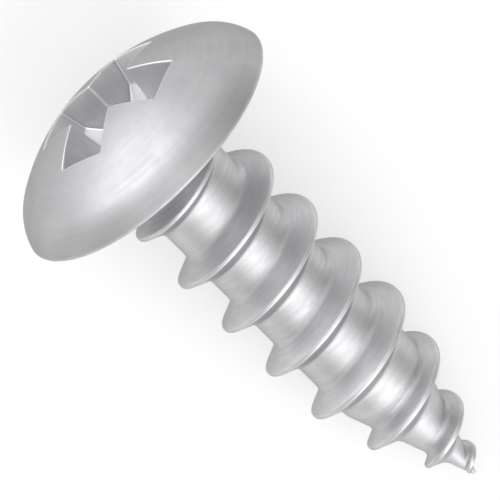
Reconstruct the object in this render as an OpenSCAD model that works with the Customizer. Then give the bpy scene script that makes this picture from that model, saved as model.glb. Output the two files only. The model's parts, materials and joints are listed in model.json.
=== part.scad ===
// Truss head self-tapping screw: one piece of steel, headed and then thread rolled.
// It is drawn standing on its own axis, with the bearing face of the head at height 0 and the
// point up. The last module lays it down as it rests, on its rim and on the taper of its thread.
// All sizes are in millimetres and all angles in degrees.

/* [Head] */
// Diameter of the head at its bearing face
head_d = 9.8; // [9:0.1:11.5]
// Height of the head over its bearing face
head_h = 2.43; // [2.3:0.01:3]
// Radius of the arc that turns the dome into the rim
rim_arc_r = 1.75; // [1.2:0.05:1.9]
// Lean of the rim towards the axis where it meets the bearing face
rim_lean = 12; // [4:1:18]
// Width of the small bevel between rim and bearing face
rim_bevel = 0.08; // [0.04:0.01:0.2]

/* [Drive recess] */
// Distance from wing end to wing end at the mouth of the cross
recess_d = 5.16; // [4.4:0.02:5.6]
// Width of a wing beside the centre of the cross, at the mouth
wing_w = 1.52; // [1.1:0.02:1.8]
// Angle by which each side of a wing opens outwards
wing_flare = 2.3; // [0:0.1:4]
// Draft of the side walls of a wing
wing_draft = 6; // [2:1:9]
// Slope of the end wall of a wing from the axis
wing_end_slope = 26.5; // [15:0.5:30]
// Depth of the recess at its centre, from the top of the dome
recess_depth = 2.55; // [2:0.05:2.8]
// Rise of the recess floor towards the wing ends
floor_slope = 28; // [10:1:35]

/* [Shank] */
// Length from the bearing face to the point
shank_l = 15.9; // [14:0.1:25]
// Diameter of the core between the threads
root_d = 3.2; // [3:0.05:3.5]
// Diameter of the plain neck under the head
neck_d = 3.9; // [3.6:0.05:4.1]
// Length of the plain neck
neck_l = 0.6; // [0.5:0.05:1]
// Length of the cone from the neck down to the core
neck_cone_l = 0.4; // [0.2:0.05:0.8]
// Radius of the fillet between neck and bearing face
neck_fillet_r = 0.5; // [0.2:0.05:0.5]
// Length over which the core tapers to the point
point_l = 4.6; // [3.5:0.1:6]
// Diameter of the blunt end of the point
tip_d = 0.1; // [0.06:0.02:0.2]

/* [Thread] */
// Diameter over the crests
thread_d = 4.8; // [4.4:0.05:5]
// Advance of the thread in one turn
pitch = 2.12; // [1.8:0.02:2.4]
// Advance to which it shortens by the very point
tip_pitch = 0.9; // [0.8:0.02:1.6]
// Slope of each flank from a plane across the axis
flank_angle = 30; // [25:1:34]
// Width of the flat along the crest
crest_w = 0.13; // [0.06:0.01:0.2]
// Turn of the thread about the axis
thread_turn = 279; // [0:1:359]
// Distance from the bearing face to the start of the thread
thread_start = 0.35; // [0.2:0.05:0.6]
// Length over which the thread grows to its full height
run_out_l = 2.4; // [1.5:0.1:3.5]
// Distance before the point at which the crests begin to taper
taper_l = 5.6; // [4.6:0.1:7]
// Distance before the point at which the taper becomes steeper
steep_l = 3.1; // [2.4:0.1:4]
// Diameter over the crests there
steep_d = 3.56; // [3.2:0.02:3.9]
// Distance before the point at which the last fin of the thread begins to end
fin_l = 0.7; // [0.5:0.05:1]
// Diameter over the crests there
fin_d = 1.26; // [0.9:0.02:1.6]
// Number of straight steps in one turn of the thread
turn_steps = 36; // [24:4:44]

/* [Rest] */
// Turn of the resting screw about its own axis
roll = 0; // [0:1:359]

/* [Hidden] */
$fn = 96;
steel = [0.74, 0.74, 0.75];

head_r = head_d / 2;
root_r = root_d / 2;
neck_r = neck_d / 2;
tip_r = tip_d / 2;
crest_r = thread_d / 2;
wing_l = recess_d / 2;

// The dome is one arc about a centre on the axis, and the rim a smaller arc inside it.
rim_x = head_r - rim_arc_r * cos(rim_lean);
rim_y = -rim_arc_r * sin(rim_lean);
dome_r = (pow(rim_x, 2) + pow(head_h - rim_y, 2) - pow(rim_arc_r, 2))
    / (2 * (head_h - rim_y - rim_arc_r));
dome_y = head_h - dome_r;
rim_to_dome = atan2(rim_y - dome_y, rim_x);

// Length by which cutters run past a face, and by which the core runs into the head
extra = 0.4;

// Height of the dome at a distance from the axis
function dome_at(x) = dome_y + sqrt(pow(dome_r, 2) - pow(x, 2));

// Radius of the core at a height above the bearing face
point_start = shank_l - point_l;
function core_at(z) = z < point_start ? root_r
    : max(tip_r, root_r + (tip_r - root_r) * (z - point_start) / point_l);

// Radius of the crests at a height above the bearing face, once the thread is full.
// It ends just inside the core, and its feet lie deeper, so that thread and core make one solid.
foot_share = 0.8;
end_share = 0.9;
taper_z = shank_l - taper_l;
steep_z = shank_l - steep_l;
fin_z = shank_l - fin_l;
end_z = shank_l - tip_d;
crest_points = [
    [taper_z, crest_r],
    [steep_z, steep_d / 2],
    [fin_z, fin_d / 2],
    [end_z, end_share * core_at(end_z)]
];
function tapered(z) = lookup(z, crest_points);

// Height that the thread has reached after some turns, with its advance shorter on the point
lead_turns = (steep_z - thread_start) / pitch;
point_turns = 2 * (end_z - steep_z) / (pitch + tip_pitch);
function height_at(turn) = let (late = max(0, turn - lead_turns))
    thread_start + pitch * turn - (pitch - tip_pitch) * pow(late, 2) / (2 * point_turns);

// The thread grows out of the core over its first turn.
function inner_at(z) = foot_share * core_at(z);
function grown(z) = sin(90 * min(1, (z - thread_start) / run_out_l));
function crest_at(z) = inner_at(z) + grown(z) * (tapered(z) - inner_at(z));
function land_at(z) = min(crest_w, (shank_l - z) / 2);

// Radius and height of a foot, on the side of the head (-1) or of the point (1)
function flank_l(z, r) = (crest_at(z) - r) * tan(flank_angle);
function foot_at(z, side) = inner_at(z + side * flank_l(z, inner_at(z)));
function foot_z(z, side) = z + side * (land_at(z) / 2 + flank_l(z, foot_at(z, side)));

// One step of the thread: the corners of its section after some turns, in order round it
function spot(r, angle, z) = [r * cos(angle), r * sin(angle), z];
function section(turn) = let (
        z = height_at(turn),
        angle = 360 * (turn + thread_start / pitch) + thread_turn
    ) [
        spot(foot_at(z, -1), angle, foot_z(z, -1)),
        spot(crest_at(z), angle, z - land_at(z) / 2),
        spot(crest_at(z), angle, z + land_at(z) / 2),
        spot(foot_at(z, 1), angle, foot_z(z, 1))
    ];

// The edge between rim and bevel, where a line at 45 degrees meets the rim's arc
bevel_x = head_r - rim_bevel - rim_x;
edge_mid = (bevel_x - rim_y) / 2;
edge_y = sqrt(pow(edge_mid, 2) - (pow(bevel_x, 2) + pow(rim_y, 2) - pow(rim_arc_r, 2)) / 2) - edge_mid;
edge_x = head_r - rim_bevel + edge_y;

// The resting pose: the floor touches that edge and the start of the taper of the crests.
slope = atan2(edge_x - crest_r, taper_z + edge_y);
rest_h = edge_x * cos(slope) - edge_y * sin(slope);
back_x = (dome_r - head_h) * cos(slope) - dome_r;
front_x = shank_l * cos(slope);

module arc_sector(centre, r, from, to) {
    far = 2 * r;
    intersection() {
        translate(centre) circle(r);
        translate(centre) polygon([
            [0, 0],
            far * [cos(from), sin(from)],
            far * [cos((from + to) / 2), sin((from + to) / 2)],
            far * [cos(to), sin(to)]
        ]);
    }
}

// The head, dome up, turned from its half section
module dome() {
    rotate_extrude() intersection() {
        polygon([
            [0, 0],
            [head_r - rim_bevel, 0],
            [head_r + rim_bevel, 2 * rim_bevel],
            [head_r + rim_bevel, head_h + rim_bevel],
            [0, head_h + rim_bevel]
        ]);
        union() {
            arc_sector([0, dome_y], dome_r, rim_to_dome, 90);
            translate([rim_x, rim_y]) circle(rim_arc_r);
            square([rim_x, head_h / 2]);
        }
    }
}

// One wing of the cross, from the axis outwards, with flat walls that lean together downwards
module wing() {
    top = head_h + extra;
    bottom = head_h - recess_depth - extra;
    mouth = dome_at(wing_l);
    function length_at(z) = wing_l + (z - mouth) * tan(wing_end_slope);
    function half_at(s, z) = wing_w / 2 + s * tan(wing_flare) + (z - mouth) * tan(wing_draft);
    function corners(z) = [
        [0, -half_at(0, z), z],
        [length_at(z), -half_at(length_at(z), z), z],
        [length_at(z), half_at(length_at(z), z), z],
        [0, half_at(0, z), z]
    ];
    polyhedron(
        points = concat(corners(bottom), corners(top)),
        faces = [[0, 1, 2, 3], [7, 6, 5, 4], [0, 4, 5, 1], [1, 5, 6, 2], [2, 6, 7, 3], [3, 7, 4, 0]]
    );
}

// The cross recess: four wings over a shallow conical floor
module recess() {
    deepest = head_h - recess_depth;
    intersection() {
        for (a = [45:90:315]) rotate(a) wing();
        rotate_extrude() polygon([
            [0, deepest],
            [head_r, deepest + head_r * tan(floor_slope)],
            [head_r, head_h + head_r],
            [0, head_h + head_r]
        ]);
    }
}

// The core of the shank with its neck and its cone, turned from its half section
module core() {
    rotate_extrude() {
        polygon([
            [0, -extra],
            [neck_r, -extra],
            [neck_r, neck_l],
            [root_r, neck_l + neck_cone_l],
            [root_r, point_start],
            [tip_r, shank_l],
            [0, shank_l]
        ]);
        difference() {
            translate([root_r, -extra]) square([neck_r - root_r + neck_fillet_r, neck_fillet_r + extra]);
            translate([neck_r + neck_fillet_r, neck_fillet_r]) circle(neck_fillet_r);
        }
    }
}

// The thread, swept along its helix from under the head to the point
module thread() {
    turns = lead_turns + point_turns;
    steps = ceil(turns * turn_steps);
    sides = 4;
    points = [for (i = [0:steps]) each section(i * turns / steps)];
    walls = [for (i = [0:steps - 1], j = [0:sides - 1]) let (
            a = i * sides + j,
            b = i * sides + (j + 1) % sides
        ) each [[a, b, b + sides], [a, b + sides, a + sides]]];
    last = steps * sides;
    ends = [[3, 2, 1], [3, 1, 0], [last, last + 1, last + 2], [last, last + 2, last + 3]];
    polyhedron(points = points, faces = concat(walls, ends));
}

// The whole screw, standing on its axis with the point up
module standing_screw() {
    difference() {
        union() {
            mirror([0, 0, 1]) dome();
            core();
            thread();
        }
        mirror([0, 0, 1]) recess();
    }
}

// The screw at rest: the axis slopes down to the point, and the floor is at height 0
module screw() {
    color(steel)
        translate([-(back_x + front_x) / 2, 0, rest_h])
            rotate([0, 90 + slope, 0])
                rotate(roll)
                    standing_screw();
}

screw();
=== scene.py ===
# %% [markdown]
# # A truss head self-tapping screw
#
# The screw is one piece of steel wire. A die upset its wide, low head and punched the cross
# recess, and two flat dies then rolled the thread into its shank. So this lesson makes one mesh
# with a finish for each way in which the steel was worked, and lays it on a white table.
#
# A screw is hard to model with booleans: a helix that is cut from a cylinder leaves slivers
# along its edges, and slivers catch the light. Here every point is worked out from the form of
# the real screw instead, so the whole surface is one clean net of four-sided faces.

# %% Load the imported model
import json
import math

import bmesh
import bpy
import numpy as np
from mathutils import Matrix, Vector


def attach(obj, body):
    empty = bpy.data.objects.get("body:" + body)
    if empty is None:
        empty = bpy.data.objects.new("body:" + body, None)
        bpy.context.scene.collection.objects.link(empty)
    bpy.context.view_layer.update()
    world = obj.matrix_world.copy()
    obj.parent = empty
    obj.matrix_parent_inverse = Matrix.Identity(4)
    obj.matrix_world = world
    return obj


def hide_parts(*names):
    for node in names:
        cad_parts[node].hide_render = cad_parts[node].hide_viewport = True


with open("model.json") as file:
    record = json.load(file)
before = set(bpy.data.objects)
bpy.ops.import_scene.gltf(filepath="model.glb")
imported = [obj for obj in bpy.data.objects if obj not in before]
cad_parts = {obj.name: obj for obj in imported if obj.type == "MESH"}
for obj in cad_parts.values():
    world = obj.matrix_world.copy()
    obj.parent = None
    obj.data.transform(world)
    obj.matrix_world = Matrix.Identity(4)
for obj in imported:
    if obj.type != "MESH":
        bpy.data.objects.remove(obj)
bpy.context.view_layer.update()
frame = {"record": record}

# %% [markdown]
# ## The screw's own frame
#
# The screw lies on a table, and its axis slopes down to the point. It is easier to draw it
# standing on its axis, with the underside of the head at height 0 and the point up, and to turn
# the finished object. The record's bearing face says where that height 0 is and which way the
# axis runs. The script's own unit is the millimetre, and Blender's is the metre.

# %% Where the screw lies
MM = 0.001
bearing = next(m for m in frame["record"]["mounts"] if m["name"] == "bearing_face")
along = Vector(bearing["axis"]).normalized()
across = Vector((0, 1, 0))
down = across.cross(along)
lie = Matrix((down, across, along)).transposed().to_4x4()
lie.translation = Vector(bearing["pos_m"])
print("slope of the axis in degrees", round(math.degrees(math.asin(-along.z)), 2))

# %% [markdown]
# ## Sizes
#
# These are the driving sizes of a number 10 sheet metal screw, in millimetres and degrees. The
# small radii at the end are what the dies leave: no edge on a rolled or punched piece is sharp,
# and each rounded edge catches a thin line of light that tells the eye it is steel. POINT_L,
# TAPER_L, STEEP_L, FIN_L and FIN_END_L are distances before the point.

# %% Driving sizes
HEAD_R, HEAD_H = 4.9, 2.43
RIM_ARC_R, RIM_LEAN, RIM_BEVEL = 1.75, math.radians(12), 0.08
RECESS_R, WING_W, WING_FLARE = 2.58, 1.52, math.radians(2.3)
WING_DRAFT, WING_END_SLOPE = math.radians(6), math.radians(26.5)
RECESS_DEPTH, FLOOR_SLOPE = 2.55, math.radians(28)
SHANK_L, ROOT_R, NECK_R, NECK_L, NECK_CONE_L, NECK_FILLET_R = 15.9, 1.6, 1.95, 0.6, 0.4, 0.5
POINT_L, TIP_R = 4.6, 0.05
CREST_R, LEAD, TIP_LEAD, FLANK, LAND = 2.4, 2.12, 0.9, math.radians(30), 0.13
THREAD_TURN, THREAD_START, RUN_OUT_L = 279, 0.35, 2.4
TAPER_L, STEEP_L, STEEP_R, FIN_L, FIN_R, FIN_END_L = 5.6, 3.1, 1.78, 0.7, 0.63, 0.15

MOUTH_ROUND, FLOOR_ROUND = 0.05, 0.06
WING_CORNER, CROSS_CORNER = 0.07, 0.14
CREST_ROUND, ROOT_ROUND, CORE_ROUND, TIP_ROUND = 0.035, 0.14, 0.08, 0.06
print("head", 2 * HEAD_R, "thread", 2 * CREST_R, "length", SHANK_L, "mm")

# %% [markdown]
# ## The columns of the net
#
# The whole screw is a net of columns that run from the middle of the recess over the dome, down
# the shank and to the point. There are twenty in each eighth of a turn: enough for the corners
# of the cross, and for a thread that looks round. A wing of the cross points along column 0.

# %% Columns
EIGHTH = 20
COLUMNS = 8 * EIGHTH
FIRST_WING = 45
column_angle = np.radians(FIRST_WING + 360 * np.arange(COLUMNS) / COLUMNS)
column_dir = np.stack([np.cos(column_angle), np.sin(column_angle)], 1)


def shares(steps, a):
    """The shares 1/steps to 1, in the shape in which they multiply a point or a row of points."""
    return (np.arange(1, steps + 1) / steps).reshape((-1,) + (1,) * np.ndim(a))


def straight(a, b, steps):
    """A straight line from a to b, as steps points after a."""
    return a + shares(steps, a) * (b - a)


def bezier(a, corner, b, steps, end=1.0):
    """A soft corner from a to b, as steps points after a. end below 1 stops part of the way."""
    t = end * shares(steps, a)
    return (1 - t) ** 2 * a + 2 * t * (1 - t) * corner + t ** 2 * b


print(COLUMNS, "columns")

# %% [markdown]
# ## The half section of the head
#
# The dome is one large arc, and the rim a smaller arc that runs into it without a break. The
# section is a list of points, each a distance from the axis and a height, and turning it about
# the axis gives the head, as on a lathe. Close pairs of points beside an edge hold the smooth
# shading back, so that the faces on both sides of the edge stay true.

# %% Section of the head
rim_x, rim_y = HEAD_R - RIM_ARC_R * math.cos(RIM_LEAN), -RIM_ARC_R * math.sin(RIM_LEAN)
dome_r = (rim_x ** 2 + (HEAD_H - rim_y) ** 2 - RIM_ARC_R ** 2) / (2 * (HEAD_H - rim_y - RIM_ARC_R))
dome_y = HEAD_H - dome_r
rim_to_dome = math.atan2(rim_y - dome_y, rim_x)


def dome_at(x):
    """Height of the dome over the bearing face, at a distance from the axis."""
    return dome_y + np.sqrt(dome_r ** 2 - x ** 2)


bevel_x = HEAD_R - RIM_BEVEL - rim_x
edge_mid = (bevel_x - rim_y) / 2
edge_y = math.sqrt(edge_mid ** 2 - (bevel_x ** 2 + rim_y ** 2 - RIM_ARC_R ** 2) / 2) - edge_mid
edge_x = HEAD_R - RIM_BEVEL + edge_y
print("radius of the dome", round(dome_r, 2), "edge of the rim", round(edge_x, 3), round(edge_y, 3))

# %% [markdown]
# A loop of the net is one point in each column. The rings below run from the neck, round the
# fillet and out over the bearing face, then over the bevel and the rim to the dome.

# %% Rings of the head
HOLD = 0.02
DOME_RING_R = 3.5
FILLET_STEPS, BEVEL_STEPS, RIM_STEPS, OUTER_DOME_STEPS = 10, 3, 14, 8


def ring(r, z):
    """One loop of the net, the same distance from the axis in every column."""
    return np.column_stack([column_dir * r, np.full(COLUMNS, z)])


def arc(centre, r, start, end, steps):
    """Points of an arc after its first one, angles in radians."""
    angle = start + (end - start) * np.arange(1, steps + 1) / steps
    return np.column_stack([centre[0] + r * np.cos(angle), centre[1] + r * np.sin(angle)])


fillet_x = NECK_R + NECK_FILLET_R
fillet = arc((fillet_x, NECK_FILLET_R), NECK_FILLET_R, math.pi, 1.5 * math.pi, FILLET_STEPS)
bearing_r = np.array([2.6, 3.2, 3.9, 4.5, HEAD_R - RIM_BEVEL - HOLD])
bearing_face = np.column_stack([bearing_r, np.zeros(len(bearing_r))])
bevel_start = np.array([HEAD_R - RIM_BEVEL, 0.0])
bevel_end = np.array([edge_x, -edge_y])
bevel_way = (bevel_end - bevel_start) / np.linalg.norm(bevel_end - bevel_start)
rim_start = math.asin((edge_y + HOLD - rim_y) / RIM_ARC_R)
rim_first = np.array([rim_x + RIM_ARC_R * math.cos(rim_start), -edge_y - HOLD])
bevel = np.vstack([
    bezier(bearing_face[-1], bevel_start, bevel_start + HOLD * bevel_way, BEVEL_STEPS),
    bezier(bevel_end - HOLD * bevel_way, bevel_end, rim_first, BEVEL_STEPS),
])
rim = arc((rim_x, -rim_y), RIM_ARC_R, -rim_start, -rim_to_dome, RIM_STEPS)
dome_end = -math.acos(DOME_RING_R / dome_r)
dome = arc((0, -dome_y), dome_r, -rim_to_dome, dome_end, OUTER_DOME_STEPS)
section = np.vstack([[NECK_R, NECK_FILLET_R], fillet, bearing_face, bevel, rim, dome])
head_rings = [ring(r, z) for r, z in section]
print(len(head_rings), "rings, head height so far in mm", round(-section[-1][1], 3))

# %% [markdown]
# ## The cross recess
#
# A punch sinks the recess, so it has the punch's form: four wings with flat sides that lean
# together, sloping ends, and a cone for a floor. A boolean cut would leave a knife edge at its
# mouth. A punched mouth is a little rounded, so the net runs from the dome over a soft edge,
# down the walls and over a second soft edge to the floor, always with the same columns.
#
# First comes the cross in plan at one height. One eighth of it is drawn and mirrored.

# %% The cross in plan
mouth_y = float(dome_at(RECESS_R))
END_STEPS, CORNER_STEPS, SIDE_STEPS = 4, 4, 9
CROSS_STEPS = EIGHTH - END_STEPS - CORNER_STEPS - SIDE_STEPS


def cross(height):
    """The recess in plan at a height in the head, one point for each column."""
    inset = height - mouth_y
    length = RECESS_R + inset * math.tan(WING_END_SLOPE)
    half = WING_W / 2 + inset * math.tan(WING_DRAFT)
    corner = np.array([length, half + length * math.tan(WING_FLARE)])
    inner = np.full(2, half / (1 - math.tan(WING_FLARE)))
    side = (inner - corner) / np.linalg.norm(inner - corner)
    end_middle = np.array([length, 0.0])
    end_last = corner - [0, WING_CORNER]
    side_first = corner + WING_CORNER * side
    side_last = inner - CROSS_CORNER * side
    next_first = inner - CROSS_CORNER * side[::-1]
    eighth = np.vstack([
        end_middle,
        straight(end_middle, end_last, END_STEPS),
        bezier(end_last, corner, side_first, CORNER_STEPS),
        straight(side_first, side_last, SIDE_STEPS),
        bezier(side_last, inner, next_first, CROSS_STEPS, end=0.5),
    ])
    quarter = np.vstack([eighth[:-1], eighth[:0:-1, ::-1]])
    whole = []
    for turn in np.radians(FIRST_WING + 90 * np.arange(4)):
        c, s = math.cos(turn), math.sin(turn)
        whole.append(quarter @ np.array([[c, s], [-s, c]]))
    return np.vstack(whole)


print("width of a wing end in mm", round(float(np.ptp(cross(mouth_y)[:EIGHTH], axis=0).max()), 2))

# %% [markdown]
# Each column has a straight line down its wall. Where that line meets the dome and where it
# meets the floor is found by stepping: guess a height, see how far out the wall is there, take
# the dome's height at that distance, and repeat. A few rounds settle it to a millionth.

# %% Mouth and floor of the recess
ROUNDS = 30
floor_y = HEAD_H - RECESS_DEPTH
low_cross, high_cross = cross(floor_y), cross(HEAD_H)


def wall(height):
    """Points on the wall lines, in plan, with a height for each column."""
    share = ((height - floor_y) / RECESS_DEPTH)[:, None]
    return low_cross + share * (high_cross - low_cross)


def floor_at(x):
    """Height of the conical floor at a distance from the axis."""
    return floor_y + x * math.tan(FLOOR_SLOPE)


def meet(surface):
    """Height at which each wall line meets a surface of revolution."""
    height = np.full(COLUMNS, mouth_y)
    for _ in range(ROUNDS):
        height = surface(np.linalg.norm(wall(height), axis=1))
    return height


def lift(plan, height):
    """A loop from points in plan and heights in the head, which points down in this frame."""
    return np.column_stack([plan, -height])


def on(surface, plan):
    """A loop on a surface of revolution, from points in plan."""
    return lift(plan, surface(np.linalg.norm(plan, axis=1)))


mouth_h, floor_h = meet(dome_at), meet(floor_at)
mouth_plan, floor_plan = wall(mouth_h), wall(floor_h)
tangent = np.roll(mouth_plan, -1, axis=0) - np.roll(mouth_plan, 1, axis=0)
outward = np.column_stack([tangent[:, 1], -tangent[:, 0]]) / np.linalg.norm(tangent, axis=1)[:, None]
print("depth of the recess at a wing end in mm", round(float(mouth_h[0] - floor_h[0]), 2))

# %% [markdown]
# The rings go from the round ring on the dome to the edge of the cross by equal shares, then over
# the mouth and down the walls. On the floor they shrink towards the middle.

# %% Rings of the recess
DOME_STEPS, EDGE_STEPS, WALL_STEPS = 9, 4, 5
FLOOR_SHARES = (0.85, 0.68, 0.5, 0.33, 0.16)
MIDDLE_R = 0.05
edge_plan = mouth_plan + (MOUTH_ROUND + HOLD) * outward
recess_rings = []
for share in np.arange(1, DOME_STEPS + 1) / DOME_STEPS:
    recess_rings.append(on(dome_at, (1 - share) * DOME_RING_R * column_dir + share * edge_plan))
mouth_out = on(dome_at, mouth_plan + MOUTH_ROUND * outward)
mouth_in = lift(wall(mouth_h - MOUTH_ROUND), mouth_h - MOUTH_ROUND)
recess_rings += [mouth_out, *bezier(mouth_out, lift(mouth_plan, mouth_h), mouth_in, EDGE_STEPS)]
wall_top, wall_foot = mouth_h - MOUTH_ROUND - HOLD, floor_h + FLOOR_ROUND + HOLD
for share in np.arange(WALL_STEPS + 1) / WALL_STEPS:
    height = wall_top + share * (wall_foot - wall_top)
    recess_rings.append(lift(wall(height), height))
floor_out = lift(wall(floor_h + FLOOR_ROUND), floor_h + FLOOR_ROUND)
floor_in = on(floor_at, floor_plan - FLOOR_ROUND * outward)
recess_rings += [floor_out, *bezier(floor_out, lift(floor_plan, floor_h), floor_in, EDGE_STEPS)]
for share in FLOOR_SHARES:
    recess_rings.append(on(floor_at, share * floor_in[:, :2]))
recess_middle = [0, 0, -float(floor_at(MIDDLE_R))]
print(len(recess_rings), "rings in the recess")

# %% [markdown]
# ## The thread
#
# The thread is a ridge that climbs the shank. If the rows of the net ran round the screw, they
# would cut across the ridge and its crest would look like a saw. So the rows run with the
# thread: the net of the shank is one long strip that winds from neck to point, and a row lies on
# each edge of the ridge for its whole length. The strip's last row is its own first row one
# turn later, so the turns join without a seam.
#
# The lead is constant on the shank and shortens on the point, as far as the blunt end. The last
# fin runs out into the core a little before that, within half a turn.

# %% Course of the thread
taper_z, steep_z = SHANK_L - TAPER_L, SHANK_L - STEEP_L
fin_z, fin_end_z = SHANK_L - FIN_L, SHANK_L - FIN_END_L
end_z = SHANK_L - 2 * TIP_R
lead_turns = (steep_z - THREAD_START) / LEAD
point_turns = 2 * (end_z - steep_z) / (LEAD + TIP_LEAD)
INNER_SHARE, END_SHARE = 0.8, 0.9
SOFTENERS = np.linspace(-CORE_ROUND, CORE_ROUND, 9)


def core_at(z):
    """Radius of neck, core and point at a height. A mean over near heights softens its corners."""
    heights = [NECK_L, NECK_L + NECK_CONE_L, SHANK_L - POINT_L, SHANK_L]
    radii = [NECK_R, ROOT_R, ROOT_R, TIP_R]
    return np.mean([np.interp(z + shift, heights, radii) for shift in SOFTENERS], axis=0)


def height_at(turn):
    """Height of the crest after some turns."""
    late = np.clip(turn - lead_turns, 0, point_turns)
    past = np.maximum(turn - lead_turns - point_turns, 0)
    shortened = (LEAD - TIP_LEAD) * late ** 2 / (2 * point_turns)
    return THREAD_START + LEAD * (turn - past) - shortened + TIP_LEAD * past


def crest_at(z):
    """Radius of the crest: it grows out of the core, runs level and tapers to the point."""
    heights = [taper_z, steep_z, fin_z, fin_end_z, SHANK_L]
    full = np.interp(z, heights, [CREST_R, STEEP_R, FIN_R, END_SHARE * core_at(fin_end_z), 0])
    grown = np.sin(math.pi / 2 * np.clip((z - THREAD_START) / RUN_OUT_L, 0, 1))
    inner = INNER_SHARE * core_at(z)
    return inner + grown * (full - inner)


print("turns of the thread", round(lead_turns + point_turns, 2))

# %% [markdown]
# One section of the strip goes from the middle of a groove over the ridge to the middle of the
# next groove. Each half is the same: half of the flat crest, its soft edge, the straight flank,
# the soft root and the groove. The soft parts take at most a share of the ridge's height, of the
# flat crest and of the groove, so they shrink with the ridge and it can fade out.

# %% Half a section of the thread
CREST_STEPS, FLANK_STEPS, ROOT_STEPS, GROOVE_STEPS = 3, 3, 4, 3
LEAST_LAND, LAND_TO_POINT = 0.005, 1 / 4
CREST_SHARE, ROOT_SHARE, LAND_SHARE, GROOVE_SHARE = 1 / 4, 1 / 3, 0.8, 0.7
FOOT_ROUNDS = 6


def half_section(turn, side):
    """Points from crest to groove, towards the head (side -1) or the point (side 1)."""
    crest_z = height_at(turn)
    groove_z = (crest_z + height_at(turn + side)) / 2
    top = np.maximum(crest_at(crest_z), core_at(crest_z))
    land = np.clip(LAND_TO_POINT * (SHANK_L - crest_z), LEAST_LAND, LAND / 2)
    foot = core_at(crest_z)
    for _ in range(FOOT_ROUNDS):
        foot_z = crest_z + side * (land + (top - foot) * math.tan(FLANK))
        foot = np.minimum(core_at(foot_z), top)
    soft = np.minimum(CREST_ROUND, CREST_SHARE * (top - foot))
    root = np.minimum(ROOT_ROUND, ROOT_SHARE * (top - foot))
    reach = np.minimum(root / math.cos(FLANK), GROOVE_SHARE * abs(groove_z - foot_z))

    def point(z, r):
        return np.stack([z, r], axis=-1)

    crest = point(crest_z, top)
    edge_in = point(crest_z + side * (land - np.minimum(soft, LAND_SHARE * land)), top)
    edge = point(crest_z + side * land, top)
    edge_out = point(crest_z + side * (land + soft * math.tan(FLANK)), top - soft)
    flank_end = point(foot_z - side * root * math.tan(FLANK), foot + root)
    groove_start = point(foot_z + side * reach, core_at(foot_z + side * reach))
    groove = point(groove_z, core_at(groove_z))
    return [
        crest,
        edge_in,
        *bezier(edge_in, edge, edge_out, CREST_STEPS),
        *straight(edge_out, flank_end, FLANK_STEPS),
        *bezier(flank_end, point(foot_z, foot), groove_start, ROOT_STEPS),
        *straight(groove_start, groove, GROOVE_STEPS),
    ]


print("rows in a half section", len(half_section(np.zeros(1), 1)))

# %% [markdown]
# The strip has one such section for each column it crosses on its way. It starts half a turn
# before the thread and goes on most of a turn beyond it, so that the bare neck and the bare
# point are covered too. A ridge lower than a few hundredths of a millimetre fades into the core,
# or it would leave slivers at the end of the thread.

# %% Strip of the thread
NET_START, NET_END = NECK_FILLET_R, SHANK_L - TIP_ROUND
FADING_RIDGE = 0.05
TURNS_BEFORE, TURNS_BEYOND = 0.5, 0.9
turn_of_column = (FIRST_WING - THREAD_TURN) / 360 - THREAD_START / LEAD
first = math.floor((-TURNS_BEFORE - turn_of_column) * COLUMNS)
last = math.ceil((lead_turns + point_turns + TURNS_BEYOND - turn_of_column) * COLUMNS)
step = np.arange(first, last + 1)
turn = turn_of_column + step / COLUMNS
upper, lower = half_section(turn, 1), half_section(turn, -1)
strip = np.stack(lower[:0:-1] + upper, axis=1)
z = np.clip(strip[..., 0], NET_START, NET_END)
core = core_at(z)
ridge = crest_at(height_at(turn)) - core_at(height_at(turn))
shown = np.clip(ridge / FADING_RIDGE, 0, 1)[:, None] * (z == strip[..., 0])
r = core + shown * np.maximum(strip[..., 1] - core, 0)
direction = column_dir[step % COLUMNS][:, None, :]
strip_net = np.concatenate([direction * r[..., None], z[..., None]], axis=-1)
print("points in the strip", strip_net.shape[0] * strip_net.shape[1])

# %% [markdown]
# ## Putting the net together
#
# The strip, the rings of the head and the rings of the recess are joined into one mesh, and
# points that fall together are merged. Where the strip would run into the head or past the
# point it has been pressed flat against the last ring, and merging takes those faces away. A
# few rings and a cap round off the blunt end.
#
# Three finishes are given to the faces on the way: the headed steel of dome and underside, the
# punched steel of the recess and the rolled steel of the shank.

# %% Mesh of the screw
HEADED, PUNCHED, ROLLED = 0, 1, 2
TIP_STEPS = 4
MERGE = 0.0008 * MM
points, faces, finishes = [], [], []


def add_net(net, finish, closed):
    """Adds a grid of points as four-sided faces. A closed grid joins its last column to its first."""
    start = len(points)
    rows, width = net.shape[:2]
    points.extend(net.reshape(-1, 3).tolist())
    for i in range(rows - 1):
        for j in range(width if closed else width - 1):
            k = (j + 1) % width
            corners = (i * width + j, i * width + k, (i + 1) * width + k, (i + 1) * width + j)
            faces.append([start + c for c in corners])
            finishes.append(finish)


def add_cap(loop, middle, finish):
    """Closes a loop with a fan of triangles round a middle point."""
    start = len(points)
    points.extend([*loop.tolist(), list(middle)])
    for j in range(COLUMNS):
        faces.append([start + j, start + (j + 1) % COLUMNS, start + COLUMNS])
        finishes.append(finish)


add_net(np.stack(head_rings + recess_rings[:DOME_STEPS + 1]), HEADED, closed=True)
add_net(np.stack(recess_rings[DOME_STEPS:]), PUNCHED, closed=True)
add_cap(recess_rings[-1], recess_middle, PUNCHED)
add_net(strip_net, ROLLED, closed=False)
tip_rings = []
for tilt in np.arange(TIP_STEPS) / TIP_STEPS * math.pi / 2:
    tip_rings.append(ring(core_at(NET_END) * math.cos(tilt), NET_END + TIP_ROUND * math.sin(tilt)))
add_net(np.stack(tip_rings), ROLLED, closed=True)
add_cap(tip_rings[-1], (0, 0, SHANK_L), ROLLED)

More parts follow.
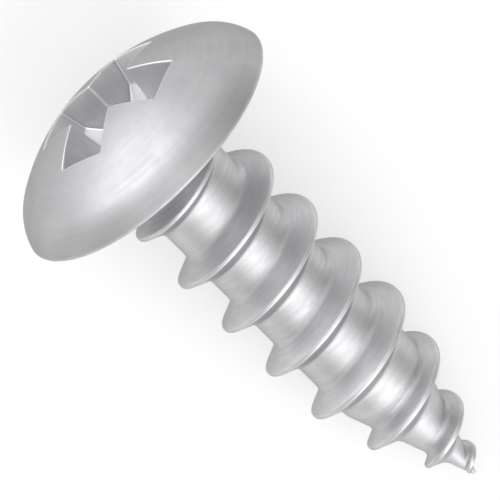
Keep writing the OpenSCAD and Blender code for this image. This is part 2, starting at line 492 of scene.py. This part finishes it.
mesh = bpy.data.meshes.new("steel_screw")
mesh.from_pydata([[v * MM for v in p] for p in points], [], faces)
mesh.polygons.foreach_set("material_index", finishes)
place = mesh.attributes.new("place", "FLOAT_VECTOR", "POINT")
place.data.foreach_set("vector", np.array(points, np.float32).ravel())
net = bmesh.new()
net.from_mesh(mesh)
bmesh.ops.remove_doubles(net, verts=net.verts, dist=MERGE)
bmesh.ops.recalc_face_normals(net, faces=net.faces)
if net.calc_volume(signed=True) < 0:
    bmesh.ops.reverse_faces(net, faces=net.faces)
for face in net.faces:
    face.smooth = True
open_edges = sum(not e.is_manifold for e in net.edges)
volume = net.calc_volume() / MM ** 3
print("faces", len(net.faces), "open edges", open_edges, "volume in mm3", round(volume, 2))
net.to_mesh(mesh)
net.free()

# %% [markdown]
# Wear shows on the edges that stand proud, and painted shade darkens the hollows, so the mesh
# also carries how sharply it bends at each point, in 1 over a radius in millimetres and as a
# share of the sharpest bend that counts. Along an edge of the net, the bend follows from how far
# the other end lies under the tangent plane. The sharpest bend of a point's edges is kept. Last
# of all, the mesh is laid down as the screw lies.

# %% Bend at each point
SHARPEST_BEND = 12.0
count, edge_count = len(mesh.vertices), len(mesh.edges)
spots, normals = np.empty(count * 3, np.float32), np.empty(count * 3, np.float32)
ends = np.empty(edge_count * 2, np.int32)
mesh.vertices.foreach_get("co", spots)
mesh.vertex_normals.foreach_get("vector", normals)
mesh.edges.foreach_get("vertices", ends)
spots, normals, ends = spots.reshape(-1, 3) / MM, normals.reshape(-1, 3), ends.reshape(-1, 2)
most, least = np.full(count, -np.inf), np.full(count, np.inf)
for near, far in ((0, 1), (1, 0)):
    edge = spots[ends[:, far]] - spots[ends[:, near]]
    under = -2 * (normals[ends[:, near]] * edge).sum(axis=1) / (edge ** 2).sum(axis=1)
    np.maximum.at(most, ends[:, near], under)
    np.minimum.at(least, ends[:, near], under)
bend = np.clip(np.where(most > -least, most, least) / SHARPEST_BEND, -1, 1)
mesh.attributes.new("bend", "FLOAT", "POINT").data.foreach_set("value", bend.astype(np.float32))
mesh.transform(lie)
print("points", count, "proud", int((bend > 0).sum()), "hollow", int((bend < 0).sum()))

# %% [markdown]
# The object rides on the row's one body and takes the place of the imported solid.

# %% The screw as an object
screw = bpy.data.objects.new("steel_screw", mesh)
bpy.context.scene.collection.objects.link(screw)
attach(screw, "root")
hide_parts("screw")
print(screw.name, "as it lies, in mm", [round(v / MM, 2) for v in screw.dimensions])

# %% [markdown]
# ## Steel
#
# Bare steel has no colour of its own on top of its shine. What tells one finish from another is
# how rough it is, which way its fine marks run and how much the dies burnished it. So every
# finish here is the same metal, and the differences lie in roughness, in a bump of a few
# thousandths of a millimetre, and in tone, which is painted light and shade: a darker steel on
# the head and a lighter one in the recess and on the shank. Three effects are used by more than
# one finish, and each is built once as a node group. They read the place of a point in the
# screw's own frame, in millimetres, which the mesh carries as an attribute, so the marks follow
# the screw however it lies.

# %% Helpers for node trees


def wire(tree, source, target):
    """Joins an output to an input."""
    tree.links.new(source, target)


def math_node(tree, kind, a, b=None):
    """A Math node fed by sockets or numbers, and its result."""
    made = tree.nodes.new("ShaderNodeMath")
    made.operation = kind
    for socket, value in zip(made.inputs, (a, b)):
        if isinstance(value, bpy.types.NodeSocket):
            wire(tree, value, socket)
        elif value is not None:
            socket.default_value = value
    return made.outputs[0]


def spread(tree, value, low, high, to_low, to_high):
    """A Map Range node from low..high to another range, held at its ends."""
    made = tree.nodes.new("ShaderNodeMapRange")
    wire(tree, value, made.inputs["Value"])
    for name, number in (("From Min", low), ("From Max", high), ("To Min", to_low), ("To Max", to_high)):
        made.inputs[name].default_value = number
    return made.outputs["Result"]


def new_group(name, inputs, outputs):
    """An empty node group with named sockets, each a pair of name and kind."""
    group = bpy.data.node_groups.new(name, "ShaderNodeTree")
    for label, kind in inputs:
        group.interface.new_socket(label, in_out="INPUT", socket_type="NodeSocket" + kind)
    for label, kind in outputs:
        group.interface.new_socket(label, in_out="OUTPUT", socket_type="NodeSocket" + kind)
    return group, group.nodes.new("NodeGroupInput"), group.nodes.new("NodeGroupOutput")


# %% [markdown]
# The first effect is drawn marks. Steel that slides along a die is left with fine lines in the
# direction in which it slid. The group turns a place into distance from the axis, angle and
# height, stretches the three by its own amounts and reads a noise there: a small stretch round
# the axis and a large one along it gives lines that run round the screw.

# %% Drawn marks
NOISE_LOW, NOISE_HIGH = 0.3, 0.7
marks, marks_in, marks_out = new_group(
    "drawn_marks",
    [("Place", "Vector"), ("Round", "Float"), ("Out", "Float"), ("Along", "Float")],
    [("Marks", "Float")],
)
apart = marks.nodes.new("ShaderNodeSeparateXYZ")
wire(marks, marks_in.outputs["Place"], apart.inputs[0])
square_x = math_node(marks, "MULTIPLY", apart.outputs["X"], apart.outputs["X"])
square_y = math_node(marks, "MULTIPLY", apart.outputs["Y"], apart.outputs["Y"])
from_axis = math_node(marks, "SQRT", math_node(marks, "ADD", square_x, square_y))
angle_round = math_node(marks, "ARCTAN2", apart.outputs["Y"], apart.outputs["X"])
together = marks.nodes.new("ShaderNodeCombineXYZ")
for source, label, target in (
    (angle_round, "Round", "X"),
    (from_axis, "Out", "Y"),
    (apart.outputs["Z"], "Along", "Z"),
):
    stretched = math_node(marks, "MULTIPLY", source, marks_in.outputs[label])
    wire(marks, stretched, together.inputs[target])
lines = marks.nodes.new("ShaderNodeTexNoise")
lines.inputs["Scale"].default_value = 1.0
lines.inputs["Detail"].default_value = 3.0
wire(marks, together.outputs[0], lines.inputs["Vector"])
clear = spread(marks, lines.outputs["Fac"], NOISE_LOW, NOISE_HIGH, 0.0, 1.0)
wire(marks, clear, marks_out.inputs["Marks"])
print("group", marks.name, "with", len(marks.nodes), "nodes")

# %% [markdown]
# The second is the mottled skin that tumbling leaves. Screws are cleaned by the thousand in a
# turning barrel, where they knock each other all over, so the skin has small soft dents and its
# shine is a little uneven from spot to spot. One noise makes the dents, a wider one the tone.

# %% Tumbled skin
skin, skin_in, skin_out = new_group(
    "tumbled_skin",
    [("Place", "Vector"), ("Dent Scale", "Float"), ("Cloud Scale", "Float")],
    [("Dents", "Float"), ("Cloud", "Float")],
)
for label, result, detail in (("Dent Scale", "Dents", 2.0), ("Cloud Scale", "Cloud", 3.0)):
    noise = skin.nodes.new("ShaderNodeTexNoise")
    noise.inputs["Detail"].default_value = detail
    wire(skin, skin_in.outputs["Place"], noise.inputs["Vector"])
    wire(skin, skin_in.outputs[label], noise.inputs["Scale"])
    clear = spread(skin, noise.outputs["Fac"], NOISE_LOW, NOISE_HIGH, 0.0, 1.0)
    wire(skin, clear, skin_out.inputs[result])
print("group", skin.name, "with", len(skin.nodes), "nodes")

# %% [markdown]
# The third is wear, together with painted shade. Edges that stand proud are rubbed bright, and
# the hollows are darkened, which is painted shade. The group reads the bend that the mesh carries,
# and a noise breaks the masks up, because real wear is never an even line.

# %% Edge wear and painted shade
PROUD_BENDS, HOLLOW_BENDS = (0.2, 0.9), (-0.1, -0.5)
PATCH_NOISE, LEAST_PATCH = (0.35, 0.6), 0.45
wear, wear_in, wear_out = new_group(
    "edge_wear_and_hollow_shade",
    [("Place", "Vector"), ("Break Up", "Float")],
    [("Rubbed", "Float"), ("Hollow", "Float")],
)
shape = wear.nodes.new("ShaderNodeAttribute")
shape.attribute_name = "bend"
patchy = wear.nodes.new("ShaderNodeTexNoise")
patchy.inputs["Detail"].default_value = 3.0
wire(wear, wear_in.outputs["Place"], patchy.inputs["Vector"])
wire(wear, wear_in.outputs["Break Up"], patchy.inputs["Scale"])
patches = spread(wear, patchy.outputs["Fac"], *PATCH_NOISE, LEAST_PATCH, 1.0)
proud = spread(wear, shape.outputs["Fac"], *PROUD_BENDS, 0.0, 1.0)
# The hollow mask is used for painted shade in the hollows.
hollow = spread(wear, shape.outputs["Fac"], *HOLLOW_BENDS, 0.0, 1.0)
wire(wear, math_node(wear, "MULTIPLY", proud, patches), wear_out.inputs["Rubbed"])
wire(wear, math_node(wear, "MULTIPLY", hollow, patches), wear_out.inputs["Hollow"])
print("group", wear.name, "with", len(wear.nodes), "nodes")

# %% [markdown]
# Each finish then places the three groups with its own values. The tone goes from a darker to a
# lighter steel with the cloud and the marks, painted shade darkens the hollows and the rubbed
# edges lift it.
# Roughness follows the marks and falls where an edge is rubbed, and the heights of marks and
# dents go to one Bump node, whose distance is in metres.
#
# Clean metal shines more and more towards its outline. A thin skin of oil and oxide takes some
# of that away, and on a metal the shader's Specular Tint is the colour of that grazing shine. It
# keeps the outline of the screw a little darker than the white table.

# %% One finish of bare steel
# The first grey is painted shade for the hollows, the second the rubbed steel of worn edges.
PAINTED_SHADE, BURNISHED = (0.50, 0.50, 0.51), (0.76, 0.76, 0.77)
GRAZING = (0.5, 0.5, 0.5)
PAINTED_SHADE_SHARE, RUB_SHARE, RUB_POLISH = 0.45, 0.5, 0.08
CLOUD_SCALE, BREAK_UP = 0.8, 3.0
UNEVEN_ROUGHNESS = 0.05
MARK_DEPTH, MARK_STRENGTH = 0.006 * MM, 0.35


def tint(tree, share, colour, over):
    """A colour mixed over another one by a share. Each colour is a socket or three numbers."""
    made = tree.nodes.new("ShaderNodeMix")
    made.data_type = "RGBA"
    wire(tree, share, made.inputs["Factor"])
    for socket, value in ((made.inputs["A"], over), (made.inputs["B"], colour)):
        if isinstance(value, bpy.types.NodeSocket):
            wire(tree, value, socket)
        else:
            socket.default_value = (*value, 1)
    return made.outputs["Result"]


def steel_finish(name, light, dark, rough, stretch, dent_scale, mark_share):
    """A material of bare steel. stretch is how far its marks are drawn round, out and along."""
    steel = bpy.data.materials.new(name)
    steel.use_nodes = True
    tree = steel.node_tree
    shader = tree.nodes["Principled BSDF"]
    shader.inputs["Metallic"].default_value = 1.0
    shader.inputs["Specular Tint"].default_value = (*GRAZING, 1)
    place_node = tree.nodes.new("ShaderNodeAttribute")
    place_node.attribute_name = "place"

    def use(group, **values):
        """Places a group with its own values, fed with the place in the screw."""
        made = tree.nodes.new("ShaderNodeGroup")
        made.node_tree = group
        wire(tree, place_node.outputs["Vector"], made.inputs["Place"])
        for label, number in values.items():
            made.inputs[label.replace("_", " ")].default_value = number
        return made.outputs

    drawn = use(marks, Round=stretch[0], Out=stretch[1], Along=stretch[2])
    tumbled = use(skin, Dent_Scale=dent_scale, Cloud_Scale=CLOUD_SCALE)
    wear_and_shade = use(wear, Break_Up=BREAK_UP)

    lines_part = math_node(tree, "MULTIPLY", drawn["Marks"], mark_share)
    cloud_part = math_node(tree, "MULTIPLY", tumbled["Cloud"], 1 - mark_share)
    mixed = math_node(tree, "ADD", lines_part, cloud_part)
    # Painted shade: the hollows are mixed towards a darker grey.
    hollow_shade = math_node(tree, "MULTIPLY", wear_and_shade["Hollow"], PAINTED_SHADE_SHARE)
    rub = math_node(tree, "MULTIPLY", wear_and_shade["Rubbed"], RUB_SHARE)
    tone = tint(tree, hollow_shade, PAINTED_SHADE, over=tint(tree, mixed, light, over=dark))
    wire(tree, tint(tree, rub, BURNISHED, over=tone), shader.inputs["Base Color"])

    uneven = spread(tree, mixed, 0.0, 1.0, rough + UNEVEN_ROUGHNESS, rough - UNEVEN_ROUGHNESS)
    polish = math_node(tree, "MULTIPLY", wear_and_shade["Rubbed"], RUB_POLISH)
    wire(tree, math_node(tree, "SUBTRACT", uneven, polish), shader.inputs["Roughness"])

    relief = tree.nodes.new("ShaderNodeBump")
    relief.inputs["Strength"].default_value = MARK_STRENGTH
    relief.inputs["Distance"].default_value = MARK_DEPTH
    wire(tree, math_node(tree, "ADD", lines_part, tumbled["Dents"]), relief.inputs["Height"])
    wire(tree, relief.outputs["Normal"], shader.inputs["Normal"])
    mesh.materials.append(steel)
    print(name, "with", len(tree.nodes), "nodes")


# %% [markdown]
# The head is a tumbled, satin steel with faint rings from the heading die, and its darker tone is
# painted shade for the sides of the dome. The punch slid down the walls of the recess, so its
# marks run along the axis, and the punched skin is denser; its lighter tone is painted light in
# the shaded recess. The rolling dies press the shank hard and burnish it, and their marks run
# round it; its lighter tone is painted light on the thread.
# The order of the three is that of the faces' finishes in the mesh.

# %% The three finishes
# The tones are painted light and shade: the head's dark steel deepens the shade on the sides of the
# dome, and the lighter steel of recess and shank lifts their shaded surfaces.
steel_finish("headed_steel", light=(0.52, 0.52, 0.53), dark=(0.45, 0.45, 0.46), rough=0.52,
             stretch=(0.6, 7.0, 7.0), dent_scale=4.0, mark_share=0.35)
steel_finish("punched_steel", light=(0.72, 0.72, 0.73), dark=(0.63, 0.63, 0.64), rough=0.46,
             stretch=(9.0, 3.0, 0.7), dent_scale=5.0, mark_share=0.6)
steel_finish("rolled_steel", light=(0.66, 0.66, 0.67), dark=(0.57, 0.57, 0.58), rough=0.47,
             stretch=(0.5, 9.0, 9.0), dent_scale=6.0, mark_share=0.65)

# %% [markdown]
# ## Table
#
# The screw lies on a white table. The table is matt and keeps the soft shadow that shows where
# the screw touches it. Part of its white is given to it as a plain glow, and only for rays that
# come from the camera or from a shine, so the metal shows the same white and no light is added
# to the screw.

# %% Table
TABLE_HALF = 2.0
TABLE_WHITE, TABLE_ROUGH = 0.97, 0.9
TABLE_GLOW = 0.5
table_mesh = bpy.data.meshes.new("table")
signs = [(-1, -1), (1, -1), (1, 1), (-1, 1)]
table_corners = [(x * TABLE_HALF, y * TABLE_HALF, 0) for x, y in signs]
table_mesh.from_pydata(table_corners, [], [(0, 1, 2, 3)])
table = bpy.data.objects.new("table", table_mesh)
bpy.context.scene.collection.objects.link(table)

paper = bpy.data.materials.new("white_table")
paper.use_nodes = True
tree = paper.node_tree
matt = tree.nodes["Principled BSDF"]
matt.inputs["Base Color"].default_value = (TABLE_WHITE, TABLE_WHITE, TABLE_WHITE, 1)
matt.inputs["Roughness"].default_value = TABLE_ROUGH
ray = tree.nodes.new("ShaderNodeLightPath")
seen = math_node(tree, "MAXIMUM", ray.outputs["Is Camera Ray"], ray.outputs["Is Glossy Ray"])
seen = math_node(tree, "MAXIMUM", seen, ray.outputs["Is Transmission Ray"])
white = tree.nodes.new("ShaderNodeEmission")
blend = tree.nodes.new("ShaderNodeMixShader")
wire(tree, math_node(tree, "MULTIPLY", seen, TABLE_GLOW), blend.inputs[0])
wire(tree, matt.outputs[0], blend.inputs[1])
wire(tree, white.outputs[0], blend.inputs[2])
wire(tree, blend.outputs[0], tree.nodes["Material Output"].inputs["Surface"])
table_mesh.materials.append(paper)
print("table", [round(v, 2) for v in table.dimensions], "m")

# %% [markdown]
# ## Light
#
# Smooth metal shows its surroundings, so the light is planned as what the screw should mirror.
# The sky is a wide bright band that runs overhead in the direction of the screw and falls off to
# both sides. The middle of the shank mirrors the band and is nearly white, and its sides mirror
# the darker flanks of the sky. The dome leans over, so it mirrors the table and the sky low
# behind the head, where a soft lamp lights a band across it. A second soft lamp stands beyond
# the point. It reaches the sides of the thread that face the head, by way of the ridge before,
# so the bright line goes on over them, and its shadow sets the screw on the table.

# %% Sky and lamps
BAND, FLANKS, BAND_HALF, BAND_SIDE = 1.4, 0.4, 1.0, 0.12
LAMPS = {
    "thread_lamp": ((0.8, -0.12, 0.6), 0.75, math.radians(60)),
    "head_lamp": ((-0.96, -0.18, 0.18), 1.1, math.radians(40)),
}
world = bpy.data.worlds.new("studio")
bpy.context.scene.world = world
world.use_nodes = True
tree = world.node_tree
sky = tree.nodes["Background"]
where = tree.nodes.new("ShaderNodeTexCoord")
split = tree.nodes.new("ShaderNodeSeparateXYZ")
wire(tree, where.outputs["Generated"], split.inputs[0])
sideways = math_node(tree, "ABSOLUTE", math_node(tree, "ADD", split.outputs["Y"], BAND_SIDE))
sky.inputs["Color"].default_value = (1, 1, 1, 1)
wire(tree, spread(tree, sideways, 0.0, BAND_HALF, BAND, FLANKS), sky.inputs["Strength"])

for name, (stands, strength, soft) in LAMPS.items():
    lamp_data = bpy.data.lights.new(name, "SUN")
    lamp_data.energy, lamp_data.angle = strength, soft
    lamp = bpy.data.objects.new(name, lamp_data)
    lamp.rotation_euler = Vector(stands).to_track_quat("Z", "Y").to_euler()
    bpy.context.scene.collection.objects.link(lamp)
print("band", BAND, "flanks", FLANKS, "lamps", list(LAMPS))

# %% [markdown]
# ## Camera
#
# The picture is a drawing without perspective, seen from above and a little from the side of the
# head, with the screw across the frame from corner to corner. A very long lens from 40 cm away
# comes close to that. The camera is placed by what it has to show: the lean of its view from the
# screw's axis, the width of the frame in millimetres, and the pixel on which the middle of the
# bearing face falls.

# %% Camera
VIEW_LEAN = math.radians(67.8)
CAMERA_FAR = 0.4
NEAREST, FARTHEST = 0.01, 10
IMAGE_W, FRAME_W = 500, 15.715 * MM
HEAD_PIXEL = (147.0, 145.3)
upper = -down
toward = math.sin(VIEW_LEAN) * upper - math.cos(VIEW_LEAN) * along
u_way = math.sin(VIEW_LEAN) * along + math.cos(VIEW_LEAN) * upper
right = (u_way + across).normalized()
up = (across - u_way).normalized()
pixel = FRAME_W / IMAGE_W
middle = IMAGE_W / 2
target = (
    Vector(bearing["pos_m"])
    + (middle - HEAD_PIXEL[0]) * pixel * right
    - (middle - HEAD_PIXEL[1]) * pixel * up
)
cam_data = bpy.data.cameras.new("camera")
cam_data.lens = cam_data.sensor_width * CAMERA_FAR / FRAME_W
cam_data.clip_start, cam_data.clip_end = NEAREST, FARTHEST
cam = bpy.data.objects.new("camera", cam_data)
bpy.context.scene.collection.objects.link(cam)
cam.matrix_world = Matrix((right, up, toward)).transposed().to_4x4()
cam.location = target + CAMERA_FAR * toward
bpy.context.scene.camera = cam
bpy.context.scene.view_settings.view_transform = "Standard"
print("lens", round(cam_data.lens, 1), "looks along", [round(v, 3) for v in -toward])

# %% [markdown]
# ## Last step
#
# The view layer is brought up to date. The finished mesh has to stay inside the box of the
# imported solid.

# %% Update the view layer
bpy.context.view_layer.update()
